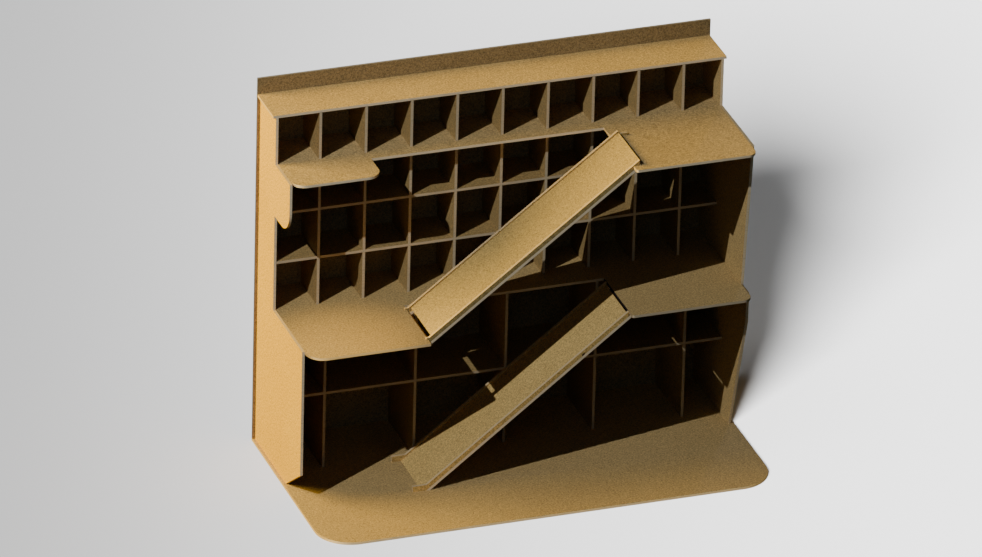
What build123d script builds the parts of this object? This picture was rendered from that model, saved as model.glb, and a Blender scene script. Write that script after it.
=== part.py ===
from build123d import *
import math
import os

# Paint rack organizer cut from 3 mm board, in millimetres.
# X runs along the rack, Y towards its back, Z up. The origin is at the middle of the base's underside.
# A "reach" is a distance forward of the back panel's front face, so it grows towards the user.

# Board and joints
board = 3.0
groove = 1.0             # depth of the grooves that take the ends of shelves and dividers
slack = 0.05             # gap left on each side of a tab, groove or halving slot
tab_length = 20.0

# Overall size
total_width = 520.0      # back panel, base board and top shelf
left_face = -257.0       # outer faces of the two side panels
right_face = 256.4
top_shelf_right = 259.4
base_reach = 258.0       # front edge of the base board

# Cell grid
pitch = 52.0             # from one divider's middle to the next
divider_count = 9
first_divider_x = -206.0
row_clear = 56.0         # clear height of each upper row of cells
bay_clear = 90.0         # clear height of each of the two lower rows
back_rise = 19.0         # back panel above the top shelf

# Front edges of the shelves and dividers
grid_reach = 55.0
ledge_reach = 70.0
bay_reach = 84.5
tab_reach = 112.0
platform_reach = 177.8

# Shelf outlines
tab_width = 101.0
tab_radius = 16.0
left_corner_radius = 20.0
right_corner_radius = 10.0
inner_corner_radius = 3.0
base_radius = 40.0
lower_left_platform_end = -117.1
right_platform_start = 113.8
ramp_notch = 8.8         # depth of the notch in the upper platform's left edge

# Side panel outlines
left_wing_reach = 105.7
left_wing_radius = 26.0
left_bay_reach = 157.0
left_foot_reach = 108.6
left_foot_height = 37.4
right_wing_top_reach = 156.6
right_wing_low_reach = 138.2
right_bay_reach = 156.8
right_foot_reach = 114.8
right_foot_height = 151.8

# Ramps. The run starts at the platform's edge and falls to the left.
ramp_back_y = 35.8
ramp_front_y = -39.5
rail_above_deck = 5.0
upper_slope = 0.7684
upper_start_x = 116.0
lower_slope = 0.7853
lower_start_x = 116.7
ramp_gap = 0.5           # room around a ramp where it passes a platform
ramp_top_x = 121.9       # upper end of the upper ramp's deck, inside the platform's notch
tread_low_x = -112.3     # lower end of the upper ramp's tread
ear_width = 5.0          # deck beside each rail that runs on past the end of a tread
front_rail_end_x = 120.5
crest_x = 121.0          # highest point of the upper ramp's back rail
nose_start_x = 123.0     # low nose of that rail, which lies on the upper platform
nose_end_x = 132.0
toe_length = 2.4         # toes of both rails, which lie on the lower left platform
toe_height = 1.6
deck_end_x = 118.5       # upper end of the lower ramp's ears, under the platform
tuck_gap = 0.3           # room between that end and the platform above it
tread_high_x = 112.4     # upper end of the lower ramp's tread, with a narrow open slot beyond it
lower_foot_x = -130.6    # ends of the lower ramp's feet
foot_height = 6.7
mortise_middle = 62.4    # small slot through the lower ramp's front rail
mortise_length = 3.2
mortise_height = 2.6

# Heights of the shelves' upper faces above the underside of the base
base_top = board
bay_shelf_top = base_top + bay_clear + board
lower_platform_top = bay_shelf_top + bay_clear + board
grid_b_top = lower_platform_top + row_clear + board
grid_a_top = grid_b_top + row_clear + board
upper_platform_top = grid_a_top + row_clear + board
top_shelf_top = upper_platform_top + row_clear + board
back_top = top_shelf_top + back_rise

back_face = (base_reach + board) / 2 - board
left_inner = left_face + board
right_inner = right_face - board
divider_x = [first_divider_x + pitch * number for number in range(divider_count)]
bay_divider_x = divider_x[0::2]


def y_of(reach):
    """Y of a point at the given reach forward of the back panel."""
    return back_face - reach


def slab(x0, x1, y0, y1, z0, z1):
    """A plain rectangular block between two opposite corners."""
    return Pos((x0 + x1) / 2, (y0 + y1) / 2, (z0 + z1) / 2) * Box(x1 - x0, y1 - y0, z1 - z0)


def prism(points, direction, thickness):
    """A board cut to an outline and given its thickness along a direction."""
    return extrude(make_face(Polyline(*points, close=True)), thickness, dir=direction)


def round_edges(part, direction, spots, radius):
    """Rounds the edges along one axis that pass nearest to the given spots."""
    picked = []
    for spot in spots:
        edges = part.edges().filter_by(direction)
        picked.append(edges.sort_by(lambda edge: (edge.center() - Vector(*spot)).length)[0])
    return fillet(picked, radius)


def save(name, part):
    """Writes one board to its own STEP file."""
    solids = part.solids()
    solids[0].label = name
    export_step(solids[0], os.path.join("parts", name + ".step"))
    print(name, "solids", len(solids), "volume", round(solids[0].volume))


def flat_board(outline, top):
    """A board lying flat with its upper face at the given height. Outline points are (x, reach)."""
    points = [(x, y_of(reach), top - board) for x, reach in outline]
    return prism(points, (0, 0, 1), board)


def side_board(outline, x0):
    """A board standing across the rack. Outline points are (reach, z)."""
    points = [(x0, y_of(reach), z) for reach, z in outline]
    return prism(points, (1, 0, 0), board)


# Tabs and their openings through the back panel.
# A shelf's tab is long in X, a standing board's tab is long in Z.

def shelf_back_tabs(top, spots):
    """Tabs on a shelf's back edge, through the back panel."""
    return [
        slab(x - tab_length / 2, x + tab_length / 2, back_face - slack, back_face + board, top - board, top)
        for x in spots
    ]


def upright_back_tabs(x, spots):
    """Tabs on a standing board's back edge, through the back panel."""
    half = board / 2
    return [
        slab(x - half, x + half, back_face - slack, back_face + board, z - tab_length / 2, z + tab_length / 2)
        for z in spots
    ]


def foot_tabs(x, reaches):
    """Tabs on a standing board's lower edge, through the base."""
    half = board / 2
    return [
        slab(x - half, x + half, y_of(r) - tab_length / 2, y_of(r) + tab_length / 2, 0, base_top + slack)
        for r in reaches
    ]


def loosened(tab, through):
    """The opening for a tab: the tab's box with slack all round, run past both faces along an axis."""
    size = tab.bounding_box()
    low = [size.min.X - slack, size.min.Y - slack, size.min.Z - slack]
    high = [size.max.X + slack, size.max.Y + slack, size.max.Z + slack]
    low[through] -= 1
    high[through] += 1
    return slab(low[0], high[0], low[1], high[1], low[2], high[2])


shelf_tab_x = [-232.0, -24.0, 232.0]
top_shelf_tab_x = [-180.0, 0.0, 180.0]
upper_tab_z = [217.0, 394.0]
lower_tab_z = [48.0, 141.0]
side_tab_z = [48.0, 141.0, 276.0, 394.0]
bay_foot_reaches = [42.0]
side_foot_reaches = [30.0, 84.0]
back_foot_x = [-210.0, -70.0, 70.0, 210.0]
side_x = [left_face + board / 2, right_face - board / 2]


# ---------------------------------------------------------------- flat boards

def halving_slots(xs, reach, top):
    """Slots from a shelf's back edge to half its depth, one at each divider."""
    half = board / 2 + slack
    middle = y_of(reach / 2) - slack
    return [slab(x - half, x + half, middle, back_face + 1, top - board - 1, top + 1) for x in xs]


def standing_grooves(xs, reach, z0, z1):
    """Shallow grooves across a shelf's face that hold the edges of the dividers."""
    half = board / 2 + slack
    front = y_of(reach) - slack
    return [slab(x - half, x + half, front, back_face + 1, z0, z1) for x in xs]


def grid_shelf(top):
    """One of the two plain shelves inside the upper grid."""
    left = left_inner - groove + slack
    right = right_inner + groove - slack
    shelf = flat_board([(left, 0), (left, grid_reach), (right, grid_reach), (right, 0)], top)
    for tab in shelf_back_tabs(top, shelf_tab_x):
        shelf += tab
    for slot in halving_slots(divider_x, grid_reach, top):
        shelf -= slot
    return shelf


def bay_shelf():
    """The shelf between the two lower rows."""
    top = bay_shelf_top
    left = left_inner - groove + slack
    right = right_inner + groove - slack
    shelf = flat_board([(left, 0), (left, bay_reach), (right, bay_reach), (right, 0)], top)
    for tab in shelf_back_tabs(top, shelf_tab_x):
        shelf += tab
    for slot in halving_slots(bay_divider_x, bay_reach, top):
        shelf -= slot
    return shelf


def upper_platform_shelf():
    """The shelf with a small tab on the left, a narrow ledge and a large platform on the right."""
    top = upper_platform_top
    left = left_inner + slack
    right = right_inner - slack
    tab_end = left_inner + tab_width
    outline = [
        (left - groove, 0),
        (left - groove, grid_reach),
        (left, grid_reach),
        (left, tab_reach),
        (tab_end, tab_reach),
        (tab_end, ledge_reach),
        (right_platform_start, ledge_reach),
        (right_platform_start, platform_reach),
        (right, platform_reach),
        (right, grid_reach),
        (right + groove, grid_reach),
        (right + groove, 0),
    ]
    shelf = flat_board(outline, top)
    middle = top - board / 2
    tab_corners = [(left, y_of(tab_reach), middle), (tab_end, y_of(tab_reach), middle)]
    shelf = round_edges(shelf, Axis.Z, tab_corners, tab_radius)
    shelf = round_platform_corners(shelf, right, top)
    notch_front = ramp_front_y - ramp_gap
    notch_back = ramp_back_y + ramp_gap
    notch_x = right_platform_start + ramp_notch
    shelf -= slab(right_platform_start - 1, notch_x, notch_front, notch_back, top - 4, top + 1)
    for tab in shelf_back_tabs(top, shelf_tab_x):
        shelf += tab
    for slot in halving_slots(divider_x, grid_reach, top):
        shelf -= slot
    return shelf


def round_platform_corners(shelf, right, top):
    """Rounds the two front corners of a right-hand platform."""
    front = y_of(platform_reach)
    middle = top - board / 2
    shelf = round_edges(shelf, Axis.Z, [(right, front, middle)], right_corner_radius)
    return round_edges(shelf, Axis.Z, [(right_platform_start, front, middle)], inner_corner_radius)


def lower_platform_shelf():
    """The shelf with large platforms on the left and right and a ledge between them."""
    top = lower_platform_top
    left = left_inner + slack
    right = right_inner - slack
    outline = [
        (left - groove, 0),
        (left - groove, grid_reach),
        (left, grid_reach),
        (left, platform_reach),
        (lower_left_platform_end, platform_reach),
        (lower_left_platform_end, bay_reach),
        (right_platform_start, bay_reach),
        (right_platform_start, platform_reach),
        (right, platform_reach),
        (right, grid_reach),
        (right + groove, grid_reach),
        (right + groove, 0),
    ]
    shelf = flat_board(outline, top)
    corner = (left, y_of(platform_reach), top - board / 2)
    shelf = round_edges(shelf, Axis.Z, [corner], left_corner_radius)
    shelf = round_platform_corners(shelf, right, top)
    for tab in shelf_back_tabs(top, shelf_tab_x):
        shelf += tab
    for cut in standing_grooves(divider_x, grid_reach, top - groove, top + 1):
        shelf -= cut
    for cut in standing_grooves(bay_divider_x, bay_reach, top - board - 1, top - board + groove):
        shelf -= cut
    return shelf


def top_shelf():
    """The shelf that lies on the side panels and upper dividers."""
    top = top_shelf_top
    left = -total_width / 2
    right = top_shelf_right
    shelf = flat_board([(left, 0), (left, grid_reach), (right, grid_reach), (right, 0)], top)
    for tab in shelf_back_tabs(top, top_shelf_tab_x):
        shelf += tab
    for cut in standing_grooves(divider_x + side_x, grid_reach, top - board - 1, top - board + groove):
        shelf -= cut
    return shelf


def base_board():
    """The base, with openings for the tabs of the boards that stand on it."""
    half = total_width / 2
    base = flat_board([(-half, -board), (-half, base_reach), (half, base_reach), (half, -board)], base_top)
    corners = [(-half, y_of(base_reach), board / 2), (half, y_of(base_reach), board / 2)]
    base = round_edges(base, Axis.Z, corners, base_radius)
    tabs = back_panel_foot_tabs()
    for x in bay_divider_x:
        tabs += foot_tabs(x, bay_foot_reaches)
    for x in side_x:
        tabs += foot_tabs(x, side_foot_reaches)
    for tab in tabs:
        base -= loosened(tab, 2)
    return base


# ---------------------------------------------------------------- standing boards

def back_panel_foot_tabs():
    """Tabs under the back panel that pass through the base."""
    half = tab_length / 2
    inset = 3 * slack
    return [
        slab(x - half, x + half, back_face, back_face + board - inset, 0, base_top + slack)
        for x in back_foot_x
    ]


def back_panel():
    """The back panel, standing on the base, with openings for every shelf and divider tab."""
    half = total_width / 2
    panel = slab(-half, half, back_face, back_face + board, base_top, back_top)
    for tab in back_panel_foot_tabs():
        panel += tab
    tabs = shelf_back_tabs(top_shelf_top, top_shelf_tab_x)
    tops = [bay_shelf_top, lower_platform_top, grid_b_top, grid_a_top, upper_platform_top]
    for top in tops:
        tabs += shelf_back_tabs(top, shelf_tab_x)
    for x in divider_x:
        tabs += upright_back_tabs(x, upper_tab_z)
    for x in bay_divider_x:
        tabs += upright_back_tabs(x, lower_tab_z)
    for x in side_x:
        tabs += upright_back_tabs(x, side_tab_z)
    for tab in tabs:
        panel -= loosened(tab, 1)
    return panel


def halving_openings(x, reach, tops):
    """Slots from a divider's front edge to half its depth, one for each shelf that crosses it."""
    cuts = []
    for top in tops:
        low = top - board - slack
        cuts.append(slab(x - board, x + board, y_of(reach) - 1, y_of(reach / 2), low, top + slack))
    return cuts


def upper_divider(x):
    """A divider of the upper grid, from the lower platform shelf to the top shelf."""
    low = lower_platform_top - groove + slack
    high = top_shelf_top - board + groove - slack
    outline = [(0, low), (grid_reach, low), (grid_reach, high), (0, high)]
    divider = side_board(outline, x - board / 2)
    for tab in upright_back_tabs(x, upper_tab_z):
        divider += tab
    for cut in halving_openings(x, grid_reach, [grid_b_top, grid_a_top, upper_platform_top]):
        divider -= cut
    return divider


def lower_divider(x):
    """A divider of the lower rows, from the base to the lower platform shelf."""
    high = lower_platform_top - board + groove - slack
    outline = [(0, base_top), (bay_reach, base_top), (bay_reach, high), (0, high)]
    divider = side_board(outline, x - board / 2)
    for tab in upright_back_tabs(x, lower_tab_z) + foot_tabs(x, bay_foot_reaches):
        divider += tab
    for cut in halving_openings(x, bay_reach, [bay_shelf_top]):
        divider -= cut
    return divider


def finish_side(panel, x, inward):
    """Adds a side panel's tabs and cuts the grooves for the shelf ends in its inner face."""
    for tab in upright_back_tabs(x, side_tab_z) + foot_tabs(x, side_foot_reaches):
        panel += tab
    inner = x + inward * board / 2
    low_x = min(inner + inward, inner - inward * groove)
    high_x = max(inner + inward, inner - inward * groove)
    grooves = [
        (bay_shelf_top, bay_reach),
        (lower_platform_top, grid_reach),
        (grid_b_top, grid_reach),
        (grid_a_top, grid_reach),
        (upper_platform_top, grid_reach),
    ]
    for top, reach in grooves:
        low = top - board - slack
        panel -= slab(low_x, high_x, y_of(reach) - slack, back_face + 1, low, top + slack)
    return panel


def left_side_panel():
    """The left side panel: a rounded upper wing and a lower wing with its foot cut back."""
    high = top_shelf_top - board + groove - slack
    wing_low = grid_a_top - board
    bay_high = lower_platform_top
    outline = [
        (0, base_top),
        (left_foot_reach, base_top),
        (left_bay_reach, left_foot_height),
        (left_bay_reach, bay_high),
        (grid_reach, bay_high),
        (grid_reach, wing_low),
        (left_wing_reach, wing_low),
        (left_wing_reach, upper_platform_top),
        (grid_reach, upper_platform_top),
        (grid_reach, high),
        (0, high),
    ]
    panel = side_board(outline, left_face)
    spot = (side_x[0], y_of(left_wing_reach), wing_low)
    panel = round_edges(panel, Axis.X, [spot], left_wing_radius)
    return finish_side(panel, side_x[0], 1)


def right_side_panel():
    """The right side panel: two wings that carry the large platforms, the lower one cut back to a foot."""
    high = top_shelf_top - board + groove - slack
    outline = [
        (0, base_top),
        (right_foot_reach, base_top),
        (right_bay_reach, right_foot_height),
        (right_bay_reach, lower_platform_top - board),
        (right_wing_low_reach, lower_platform_top - board),
        (right_wing_top_reach, upper_platform_top - board),
        (right_wing_top_reach, upper_platform_top),
        (grid_reach, upper_platform_top),
        (grid_reach, high),
        (0, high),
    ]
    panel = side_board(outline, right_inner)
    return finish_side(panel, side_x[1], -1)


# ---------------------------------------------------------------- ramps

# A ramp is a full-width deck with a tread on it between two rails. Its lines are all parallel to the
# tread's walking surface, at a depth measured square to it.

def ramp_line(start, slope, depth):
    """The height at x, and the x at a height, of the line at a depth below a tread's surface."""
    drop = depth * math.sqrt(1 + slope * slope)

    def height(x):
        return start[1] + slope * (x - start[0]) - drop

    def place(z):
        return start[0] + (z + drop - start[1]) / slope

    return height, place


def square_end(point, slope, depth):
    """The (x, z) point at a depth straight into a ramp's boards from a point of its surface."""
    length = math.sqrt(1 + slope * slope)
    return point[0] + depth * slope / length, point[1] - depth / length


def ramp_board(points, y0, y1):
    """A board between two y values cut to an (x, z) outline."""
    return prism([(x, y0, z) for x, z in points], (0, 1, 0), y1 - y0)


def upper_ramp():
    """The ramp from the upper platform down to the lower left platform."""
    start = (upper_start_x, upper_platform_top)
    surface = ramp_line(start, upper_slope, 0)[0]
    seat = ramp_line(start, upper_slope, board)[0]
    under = ramp_line(start, upper_slope, 2 * board)[0]
    ridge, ridge_place = ramp_line(start, upper_slope, board - rail_above_deck)
    low_x = lower_left_platform_end + ramp_gap
    high = upper_platform_top
    low = lower_platform_top
    y0 = ramp_front_y
    y1 = ramp_back_y

    end_top = (tread_low_x, surface(tread_low_x))
    end_middle = square_end(end_top, upper_slope, board)
    end_bottom = square_end(end_top, upper_slope, 2 * board)
    deck_points = [(low_x, under(low_x)), (ramp_top_x, under(ramp_top_x))]
    deck_points += [(ramp_top_x, seat(ramp_top_x)), (low_x, seat(low_x))]
    deck = ramp_board(deck_points, y0, y1)
    clear_x = low_x - board
    opening = [end_top, square_end(end_top, upper_slope, 3 * board), (clear_x, end_bottom[1] - board)]
    opening += [(clear_x, end_top[1])]
    deck -= ramp_board(opening, y0 + ear_width, y1 - ear_width)
    tread_points = [end_middle, (ramp_top_x, seat(ramp_top_x))]
    tread_points += [(ramp_top_x, surface(ramp_top_x)), end_top]
    toe_top = low + toe_height
    toe = [
        (ridge_place(toe_top), toe_top),
        (low_x - toe_length, toe_top),
        (low_x - toe_length, low),
        (low_x, low),
        (low_x, seat(low_x)),
    ]
    plain_end = [(front_rail_end_x, seat(front_rail_end_x)), (front_rail_end_x, ridge(front_rail_end_x))]
    nose_end = [
        (ramp_top_x, seat(ramp_top_x)),
        (ramp_top_x, high),
        (nose_end_x, high),
        (nose_end_x, high + board),
        (nose_start_x, high + board),
        (crest_x, ridge(crest_x)),
    ]
    save("upper_ramp_deck", deck)
    save("upper_ramp_tread", ramp_board(tread_points, y0 + board, y1 - board))
    save("upper_ramp_front_rail", ramp_board(toe + plain_end, y0, y0 + board))
    save("upper_ramp_back_rail", ramp_board(toe + nose_end, y1 - board, y1))


def lower_ramp():
    """The ramp from the lower right platform down to the base, its deck's ears tucked under the platform."""
    start = (lower_start_x, lower_platform_top)
    surface, surface_place = ramp_line(start, lower_slope, 0)
    seat, seat_place = ramp_line(start, lower_slope, board)
    under, under_place = ramp_line(start, lower_slope, 2 * board)
    ridge, ridge_place = ramp_line(start, lower_slope, board - rail_above_deck)
    high_x = right_platform_start - ramp_gap
    tuck_z = lower_platform_top - board - tuck_gap
    low = base_top
    y0 = ramp_front_y
    y1 = ramp_back_y

    end_top = (tread_high_x, surface(tread_high_x))
    end_middle = square_end(end_top, lower_slope, board)
    clear_low = square_end(end_top, lower_slope, 3 * board)
    clear_x = deck_end_x + board
    deck_points = [
        (under_place(low), low),
        (deck_end_x, under(deck_end_x)),
        (deck_end_x, tuck_z),
        (seat_place(tuck_z), tuck_z),
        (seat_place(low), low),
    ]
    deck = ramp_board(deck_points, y0, y1)
    opening = [end_top, clear_low, (clear_x, clear_low[1]), (clear_x, lower_platform_top)]
    deck -= ramp_board(opening, y0 + ear_width, y1 - ear_width)
    tread_points = [(seat_place(low), low), end_middle, end_top, (surface_place(low), low)]
    foot_top = low + foot_height
    rail_points = [
        (seat_place(low), low),
        (high_x, seat(high_x)),
        (high_x, ridge(high_x)),
        (ridge_place(foot_top), foot_top),
        (lower_foot_x, foot_top),
        (lower_foot_x, low),
    ]
    front_rail = ramp_board(rail_points, y0, y0 + board)
    mortise_x = (mortise_middle - mortise_length / 2, mortise_middle + mortise_length / 2)
    mortise = [(x, seat(x)) for x in mortise_x]
    mortise += [(x, seat(x) + mortise_height) for x in reversed(mortise_x)]
    front_rail -= ramp_board(mortise, y0 - 1, y0 + board + 1)
    save("lower_ramp_deck", deck)
    save("lower_ramp_tread", ramp_board(tread_points, y0 + board, y1 - board))
    save("lower_ramp_front_rail", front_rail)
    save("lower_ramp_back_rail", ramp_board(rail_points, y1 - board, y1))


def main():
    """Builds every board."""
    os.makedirs("parts", exist_ok=True)
    save("base_board", base_board())
    save("back_panel", back_panel())
    save("left_side_panel", left_side_panel())
    save("right_side_panel", right_side_panel())
    save("top_shelf", top_shelf())
    save("upper_platform_shelf", upper_platform_shelf())
    save("grid_shelf_a", grid_shelf(grid_a_top))
    save("grid_shelf_b", grid_shelf(grid_b_top))
    save("lower_platform_shelf", lower_platform_shelf())
    save("lower_bay_shelf", bay_shelf())
    for number, x in enumerate(divider_x, 1):
        save("upper_divider_" + str(number), upper_divider(x))
    for number, x in enumerate(bay_divider_x, 1):
        save("lower_divider_" + str(number), lower_divider(x))
    upper_ramp()
    lower_ramp()


main()
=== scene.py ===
import bpy
from mathutils import Matrix, Vector

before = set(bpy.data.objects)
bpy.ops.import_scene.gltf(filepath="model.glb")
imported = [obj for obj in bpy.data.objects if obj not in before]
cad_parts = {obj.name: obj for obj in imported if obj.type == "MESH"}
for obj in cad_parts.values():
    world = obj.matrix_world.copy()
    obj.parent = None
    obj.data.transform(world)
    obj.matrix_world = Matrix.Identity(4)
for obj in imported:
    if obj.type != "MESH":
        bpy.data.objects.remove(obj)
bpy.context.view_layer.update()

# The rack stands on the floor at z = 0. X runs along it, Y towards its back panel, Z up, in metres.

# Camera
VIEW_WIDTH = 1.06517         # metres across the picture, at the rack
SENSOR = 36.0
LENS = 450.0
VIEW_RIGHT = Vector((0.9460, -0.3237, 0.0225))
VIEW_UP = Vector((0.1297, 0.4406, 0.8884))
AIM = Vector((-0.0325, 0.0, 0.2311))

# Lamps
LAMP_TARGET = Vector((0.0, 0.0, 0.24))
# The small hard lamp at the upper left front
KEY_PLACE = Vector((-2.0, -1.1, 2.35))
KEY_POWER = 258.0
KEY_COLOUR = (0.95, 1.10, 1.50)
KEY_RADIUS = 0.012
# A narrow beam from the same place on the left platform
PLATFORM_SPOT_AIM = Vector((-0.250, -0.060, 0.189))   # the middle of the left platform's bright patch
PLATFORM_SPOT_POWER = 600.0
PLATFORM_SPOT_COLOUR = (1.08, 0.82, 0.22)
PLATFORM_SPOT_SIZE = 0.085
# The broad soft lamp on the left
FILL_SIDE = Vector((-0.88, 0.28, 0.38))
FILL_DISTANCE = 2.6
FILL_SIZE = 1.7
FILL_POWER = 165.0
FILL_COLOUR = (1.08, 0.84, 0.20)
# The lamps that light the floor alone: direction, strength and angular width.
FLOOR_LAMPS = (
    (Vector((0.58, 0.79, -0.52)), 22.5, 0.36),
    (Vector((0.90, 0.00, -1.60)), 0.6, 0.40),
)
# The cool soft lamp in front, which opens the shade inside the cells
CELL_SIDE = Vector((-0.30, -0.84, 0.46))
CELL_DISTANCE = 2.6
CELL_SIZE = 1.5
CELL_POWER = 2.3
CELL_COLOUR = (0.50, 0.75, 1.25)
# Two level lamps, one on the base's front edge and one on the faces turned away from the others
FRONT_LIGHT = Vector((0.0, 1.0, 0.0))
FRONT_LIGHT_STRENGTH = 1.8
FRONT_LIGHT_COLOUR = (1.0, 0.83, 0.48)
BACK_LIGHT = Vector((-0.55, -0.83, 0.0))
BACK_LIGHT_STRENGTH = 4.6
# The dim surroundings, and the floor's greys: pale on the right, painted darker towards the left as painted
# shade
WORLD_STRENGTH = 0.020
WORLD_COLOUR = (0.75, 0.90, 1.10, 1.0)
FLOOR_LEFT_PAINTED_SHADE = (0.24, 0.24, 0.24, 1.0)
FLOOR_RIGHT = (0.93, 0.93, 0.93, 1.0)


# ---------------------------------------------------------------- node helpers

class Nodes:
    """A short way to add nodes to one material."""

    def __init__(self, material):
        material.use_nodes = True
        self.tree = material.node_tree
        self.tree.nodes.clear()
        self.output = self.tree.nodes.new("ShaderNodeOutputMaterial")

    def add(self, kind, **inputs):
        """Adds a node and sets or links its inputs, named as in Blender with _ for a space."""
        node = self.tree.nodes.new(kind)
        for name, value in inputs.items():
            self.put(node, name.replace("_", " "), value)
        return node

    def put(self, node, name, value):
        """Sets one input of a node, or links a socket to it."""
        socket = node.inputs[int(name)] if name.isdigit() else node.inputs[name]
        if isinstance(value, bpy.types.NodeSocket):
            self.tree.links.new(value, socket)
        else:
            socket.default_value = value

    def math(self, operation, a, b=0.0, c=0.0, clamp=False):
        """A Math node's result."""
        node = self.tree.nodes.new("ShaderNodeMath")
        node.operation = operation
        node.use_clamp = clamp
        for index, value in enumerate((a, b, c)):
            self.put(node, str(index), value)
        return node.outputs[0]

    def mix(self, factor, a, b, blend="MIX"):
        """A colour Mix node's result."""
        node = self.tree.nodes.new("ShaderNodeMix")
        node.data_type = "RGBA"
        node.blend_type = blend
        self.put(node, "0", factor)
        self.put(node, "6", a)
        self.put(node, "7", b)
        return node.outputs[2]

    def ramp(self, value, low, high):
        """Maps a range of a value to 0 to 1, smoothly."""
        node = self.tree.nodes.new("ShaderNodeMapRange")
        node.interpolation_type = "SMOOTHSTEP"
        for name, setting in (("Value", value), ("From Min", low), ("From Max", high)):
            self.put(node, name, setting)
        return node.outputs["Result"]

    def grey(self, value):
        """A grey colour of the given brightness."""
        node = self.tree.nodes.new("ShaderNodeCombineColor")
        for name in ("Red", "Green", "Blue"):
            self.put(node, name, value)
        return node.outputs[0]

    def split(self, vector, index):
        """One component of a vector: 0, 1 or 2 for x, y or z."""
        node = self.tree.nodes.new("ShaderNodeSeparateXYZ")
        self.put(node, "Vector", vector)
        return node.outputs[index]

    def noise(self, vector, scale, detail=2.0, roughness=0.5):
        """A noise texture's value."""
        node = self.tree.nodes.new("ShaderNodeTexNoise")
        settings = (("Vector", vector), ("Scale", scale), ("Detail", detail), ("Roughness", roughness))
        for name, value in settings:
            self.put(node, name, value)
        return node.outputs[0]


# Fibreboard: faces, cut edges and scorched places, with the front-facing cut edges painted paler as painted
# light and two places painted near-black as painted shade
FACE = (0.470, 0.292, 0.088, 1.0)
FACE_DARK = (0.425, 0.258, 0.074, 1.0)
FACE_LIGHT = (0.515, 0.326, 0.102, 1.0)
EDGE = (0.560, 0.370, 0.150, 1.0)
# the colour of cut edges that face the front: painted light, paler than the other cut edges
FRONT_EDGE_PAINTED_LIGHT = (0.960, 0.700, 0.340, 1.0)
SCORCH = (0.300, 0.180, 0.060, 1.0)
# near-black painted shade, for the gap at the lower ramp's top end and for the slot in its front rail
PAINTED_SHADE_DARK = (0.030, 0.016, 0.008, 1.0)
PAINTED_SHADE_X = 0.1                                 # the platform's left edge is painted dark as shade to the right of this X
PAINTED_SHADE_Y = -0.0365                             # and behind this Y
MORTISE_LOW = (0.0607, -0.03935, 0.141)      # the box round the slot in the lower ramp's front rail, painted dark inside as shade
MORTISE_HIGH = (0.0641, -0.0364, 0.147)


def charred_end(n, place, geometry):
    """How much a cut edge is painted dark as painted shade: only the edge that the lower ramp butts
    against, behind its front rail, where the gap beside the ramp's end lies in shade.
    """
    leftward = n.ramp(n.math("MULTIPLY", n.split(geometry.outputs["True Normal"], 0), -1.0), 0.4, 0.8)
    behind = n.math("GREATER_THAN", n.split(place, 1), PAINTED_SHADE_Y)
    beside = n.math("GREATER_THAN", n.split(place, 0), PAINTED_SHADE_X)
    return n.math("MULTIPLY", n.math("MULTIPLY", behind, beside), leftward)


def charred_slot(n, place):
    """1 inside the slot in the lower ramp's front rail, whose walls are painted near-black as painted
    shade, and 0 elsewhere.
    """
    inside = 1.0
    for axis in range(3):
        part = n.split(place, axis)
        inside = n.math("MULTIPLY", inside, n.math("GREATER_THAN", part, MORTISE_LOW[axis]))
        inside = n.math("MULTIPLY", inside, n.math("LESS_THAN", part, MORTISE_HIGH[axis]))
    return inside


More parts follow.
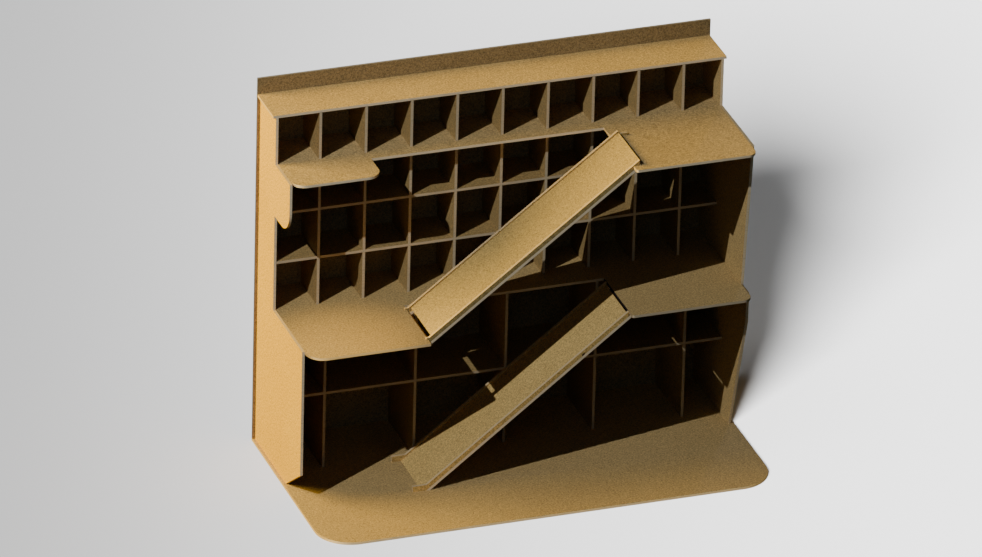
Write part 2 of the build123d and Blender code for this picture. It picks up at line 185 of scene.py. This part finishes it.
def board_material(name, normal, offset, painted_tint, painted_edge_shade):
    """Fibreboard: a fine felted face on the two broad sides and a paler cut edge all round, painted paler
    still where the edge faces the front, as painted light.

    normal is the direction of the broad faces, offset moves the pattern, painted_tint scales the colour of
    the faces with painted light and shade, and painted_edge_shade darkens the cut edges with painted shade.
    """
    material = bpy.data.materials.new(name)
    n = Nodes(material)
    place = n.add("ShaderNodeTexCoord").outputs["Object"]
    shifted = n.add("ShaderNodeVectorMath", **{"0": place, "1": offset}).outputs[0]
    geometry = n.add("ShaderNodeNewGeometry")
    facing = n.tree.nodes.new("ShaderNodeVectorMath")
    facing.operation = "DOT_PRODUCT"
    n.put(facing, "0", geometry.outputs["True Normal"])
    n.put(facing, "1", normal)
    broad = n.ramp(n.math("ABSOLUTE", facing.outputs["Value"]), 0.6, 0.8)

    cloud = n.noise(shifted, 7.0, 3.0, 0.55)
    felt = n.noise(shifted, 520.0, 3.0, 0.75)
    speck = n.noise(shifted, 1100.0, 2.0, 0.6)
    stretch = n.add("ShaderNodeVectorMath", **{"0": shifted, "1": (60.0, 60.0, 900.0)})
    stretch.operation = "MULTIPLY"
    layers = n.noise(stretch.outputs[0], 1.0, 3.0, 0.6)

    face = n.mix(n.ramp(cloud, 0.25, 0.75), FACE_DARK, FACE_LIGHT)
    face = n.mix(0.6, face, FACE)
    grain = n.math("MULTIPLY_ADD", felt, 2.4, -0.9)
    grain = n.math("MAXIMUM", n.math("MULTIPLY_ADD", speck, 1.4, grain), 0.35)
    face = n.mix(1.0, face, n.grey(grain), "MULTIPLY")
    # each board's tint, which holds painted light and shade
    face = n.mix(1.0, face, (*painted_tint, 1.0), "MULTIPLY")
    # cut edges turned to the front get the paler colour: painted light
    front_painted_light_mask = n.math("MULTIPLY", n.split(geometry.outputs["True Normal"], 1), -1.0)
    edge = n.mix(n.ramp(front_painted_light_mask, 0.4, 0.8), EDGE, FRONT_EDGE_PAINTED_LIGHT)
    edge = n.mix(n.math("MULTIPLY", n.ramp(layers, 0.45, 0.8), 0.35), edge, SCORCH)
    if name.startswith("lower_platform"):
        # the cut edge that the lower ramp butts against is painted near-black: painted shade of the gap
        # there
        edge = n.mix(charred_end(n, place, geometry), edge, PAINTED_SHADE_DARK)
    # cut edges darkened by painted shade on the lower platform and the boards among the cells
    edge = n.mix(1.0, edge, (painted_edge_shade, painted_edge_shade, painted_edge_shade, 1.0), "MULTIPLY")
    colour = n.mix(broad, edge, face)
    if name.startswith("lower_ramp"):
        # the walls of the slot in the lower ramp's front rail are painted near-black: painted shade in the
        # recess
        colour = n.mix(charred_slot(n, place), colour, PAINTED_SHADE_DARK)

    rough = n.math("MULTIPLY_ADD", felt, 0.25, 0.55)
    height = n.math("ADD", n.math("MULTIPLY", felt, 0.6), n.math("MULTIPLY", speck, 0.4))
    bump = n.add("ShaderNodeBump", Strength=0.22, Distance=0.0002, Height=height)
    shader = n.add("ShaderNodeBsdfPrincipled", Base_Color=colour, Roughness=rough, Normal=bump.outputs[0])
    shader.inputs["Specular IOR Level"].default_value = 0.3
    n.tree.links.new(shader.outputs[0], n.output.inputs["Surface"])
    return material


# ---------------------------------------------------------------- boards

UPPER_SLOPE = 0.7684
LOWER_SLOPE = 0.7853


def slope_normal(slope):
    """The direction square to a ramp's deck."""
    return Vector((-slope, 0.0, 1.0)).normalized()


def broad_normal(node):
    """The direction of a board's two broad faces."""
    if "ramp" in node and "rail" in node:
        return Vector((0, 1, 0))
    if node.startswith("upper_ramp"):
        return slope_normal(UPPER_SLOPE)
    if node.startswith("lower_ramp"):
        return slope_normal(LOWER_SLOPE)
    if node == "back_panel":
        return Vector((0, 1, 0))
    if "divider" in node or "side_panel" in node:
        return Vector((1, 0, 0))
    return Vector((0, 0, 1))


def board_tint(node):
    """The colour of a board's faces beside the others, tuned together with the lamps as painted light and
    shade: the left side panel painted lighter and yellower, the back panel and the boards among the cells
    painted darker, the ramps' front rails painted lighter.
    """
    painted_light_tints = {
        "left_side_panel": (1.30, 1.13, 0.28),
        "right_side_panel": (0.93, 0.93, 0.93),
        "back_panel": (0.62, 0.65, 0.72),
        "base_board": (0.84, 0.84, 0.86),
        "top_shelf": (1.05, 1.04, 1.04),
        "upper_platform_shelf": (0.91, 0.92, 0.98),
        "lower_platform_shelf": (0.88, 0.88, 0.88),
    }
    if node.startswith("upper_ramp"):
        return (0.85, 0.86, 0.74)
    if node.endswith("ramp_front_rail"):
        return (1.45, 1.38, 1.10)
    if node.startswith("lower_ramp"):
        return (1.08, 1.05, 0.90)
    return painted_light_tints.get(node, (0.66, 0.64, 0.60))


def dress_boards():
    """Gives every board its own fibreboard material and slightly softened edges."""
    for index, (node, board) in enumerate(sorted(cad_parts.items())):
        offset = (0.37 * index, 0.21 * index, 0.53 * index)
        # the cut edges of the lower platform and of the boards among the cells are painted darker as
        # painted shade, those of the lower dividers and bay most
        painted_edge_shade = 0.65 if node == "lower_platform_shelf" else 1.0
        if "upper_divider" in node or "grid" in node:
            painted_edge_shade = 0.65
        elif "lower_divider" in node or "bay" in node:
            painted_edge_shade = 0.5
        normal = broad_normal(node)
        material = board_material(node + "_fibreboard", normal, offset, board_tint(node), painted_edge_shade)
        board.data.materials.clear()
        board.data.materials.append(material)
        bevel = board.modifiers.new("softened_edges", "BEVEL")
        bevel.width = 0.0002
        bevel.segments = 2
        bevel.limit_method = "ANGLE"
        bevel.angle_limit = 0.6
        bevel.use_clamp_overlap = True


# ---------------------------------------------------------------- stage

def make_floor():
    """A pale floor, painted darker towards the left as painted shade."""
    mesh = bpy.data.meshes.new("floor")
    size = 40.0
    corners = [(-size, -size, 0), (size, -size, 0), (size, size, 0), (-size, size, 0)]
    mesh.from_pydata(corners, [], [(0, 1, 2, 3)])
    floor = bpy.data.objects.new("floor", mesh)
    bpy.context.scene.collection.objects.link(floor)
    material = bpy.data.materials.new("floor_paper")
    n = Nodes(material)
    place = n.add("ShaderNodeTexCoord").outputs["Object"]
    across = n.tree.nodes.new("ShaderNodeVectorMath")
    across.operation = "DOT_PRODUCT"
    n.put(across, "0", place)
    n.put(across, "1", VIEW_RIGHT)
    # the floor's grey runs from painted shade on the left to its pale colour on the right
    colour = n.mix(n.ramp(across.outputs["Value"], -0.7, 0.7), FLOOR_LEFT_PAINTED_SHADE, FLOOR_RIGHT)
    shader = n.add("ShaderNodeBsdfPrincipled", Base_Color=colour, Roughness=0.9)
    shader.inputs["Specular IOR Level"].default_value = 0.0
    n.tree.links.new(shader.outputs[0], n.output.inputs["Surface"])
    mesh.materials.append(material)
    floor.visible_diffuse = False
    floor.visible_glossy = False
    return floor


def aim_matrix(position, direction):
    """Places an object at a position with its -Z along a direction."""
    rotation = direction.to_track_quat("-Z", "Y").to_matrix().to_4x4()
    return Matrix.Translation(position) @ rotation


def is_outer(node):
    """Whether a board stands open to the soft light from the left, unlike those among the cells."""
    return node.startswith("upper_ramp") or node in (
        "left_side_panel", "top_shelf", "base_board", "upper_platform_shelf",
    )


def add_light(name, kind, matrix, receivers, **settings):
    """Adds a light that falls on the given objects only; every object still casts a shadow."""
    data = bpy.data.lights.new(name, kind)
    for key, value in settings.items():
        setattr(data, key, value)
    light = bpy.data.objects.new(name, data)
    light.matrix_world = matrix
    bpy.context.scene.collection.objects.link(light)
    group = bpy.data.collections.new(name + "_receivers")
    bpy.context.scene.collection.children.link(group)
    for thing in receivers:
        group.objects.link(thing)
    light.light_linking.receiver_collection = group


def add_sun(name, direction, receivers, **settings):
    """Adds a sun lamp that shines along a direction on the given objects only."""
    add_light(name, "SUN", aim_matrix(LAMP_TARGET - direction * 3.0, direction), receivers, **settings)


def make_lights(floor):
    """A small hard lamp from the upper left front, a broad soft one from the left, and weaker helpers."""
    boards = list(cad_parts.values())
    outer = [board for node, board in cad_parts.items() if is_outer(node)]
    platform = [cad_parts["lower_platform_shelf"]]
    add_light(
        "key", "SPOT", aim_matrix(KEY_PLACE, LAMP_TARGET - KEY_PLACE), boards,
        energy=KEY_POWER, color=KEY_COLOUR, shadow_soft_size=KEY_RADIUS, spot_size=1.2, spot_blend=1.0,
    )
    add_light(
        "platform_spot", "SPOT", aim_matrix(KEY_PLACE, PLATFORM_SPOT_AIM - KEY_PLACE), platform,
        energy=PLATFORM_SPOT_POWER, color=PLATFORM_SPOT_COLOUR, shadow_soft_size=KEY_RADIUS,
        spot_size=PLATFORM_SPOT_SIZE, spot_blend=1.0,
    )
    side = FILL_SIDE.normalized() * FILL_DISTANCE
    add_light(
        "fill", "AREA", aim_matrix(LAMP_TARGET + side, -side), outer,
        energy=FILL_POWER, color=FILL_COLOUR, shape="DISK", size=FILL_SIZE,
    )
    front = CELL_SIDE.normalized() * CELL_DISTANCE
    add_light(
        "cell_light", "AREA", aim_matrix(LAMP_TARGET + front, -front), boards,
        energy=CELL_POWER, color=CELL_COLOUR, shape="DISK", size=CELL_SIZE,
    )
    for index, (direction, strength, angle) in enumerate(FLOOR_LAMPS):
        add_sun("floor_lamp_%d" % index, direction, [floor], energy=strength, angle=angle)
    add_sun(
        "front_light", FRONT_LIGHT, [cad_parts["base_board"]],
        energy=FRONT_LIGHT_STRENGTH, color=FRONT_LIGHT_COLOUR, angle=0.05,
    )
    add_sun("back_light", BACK_LIGHT, boards, energy=BACK_LIGHT_STRENGTH, angle=0.05)
    world = bpy.data.worlds.new("studio")
    world.use_nodes = True
    background = world.node_tree.nodes["Background"]
    background.inputs["Color"].default_value = WORLD_COLOUR
    background.inputs["Strength"].default_value = WORLD_STRENGTH
    bpy.context.scene.world = world


def make_camera():
    """A very long lens, which gives the flat view of the rack."""
    data = bpy.data.cameras.new("camera")
    data.sensor_width = SENSOR
    data.lens = LENS
    distance = VIEW_WIDTH * LENS / SENSOR
    back = VIEW_RIGHT.cross(VIEW_UP).normalized()
    right = VIEW_UP.cross(back).normalized()
    up = back.cross(right)
    place = AIM + back * distance
    rotation = Matrix((right, up, back)).transposed().to_4x4()
    camera = bpy.data.objects.new("camera", data)
    camera.matrix_world = Matrix.Translation(place) @ rotation
    data.clip_end = distance * 4
    bpy.context.scene.collection.objects.link(camera)
    bpy.context.scene.camera = camera


make_camera()
make_lights(make_floor())
dress_boards()
